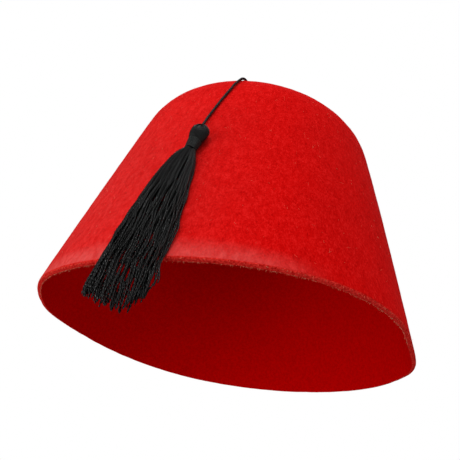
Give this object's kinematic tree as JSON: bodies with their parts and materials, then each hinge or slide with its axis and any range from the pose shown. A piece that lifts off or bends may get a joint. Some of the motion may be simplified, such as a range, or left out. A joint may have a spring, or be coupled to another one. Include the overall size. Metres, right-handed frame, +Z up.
{
  "type": "fez hat",
  "caption": "Moulded felt fez, a tapered cap with a rounded crown edge and an open foot, with a twisted cord from the crown and a hanging strand tassel.",
  "frame": {"origin": "centre of the head opening, in the mean plane of the rim", "axes": "+Z up the cap towards its crown, -Y out of the side that carries the tassel, +X to the right as that side is looked at"},
  "size_m": [0.1931, 0.1954, 0.1545],
  "materials": {
    "felt": "matt needled felt, bright red, lightly fuzzy",
    "cord": "black twisted cord, slightly silky",
    "tassel_thread": "black two-ply twisted thread, silky",
    "wrap_thread": "black fine thread, wound close"
  },
  "bodies": {
    "root": {"felt_shell": "felt", "tassel_cord": "cord", "cord_knot": "cord", "tassel_knob": "tassel_thread", "tassel_neck_wrap": "wrap_thread", "tassel_skirt": "tassel_thread"}
  },
  "joints": []
}
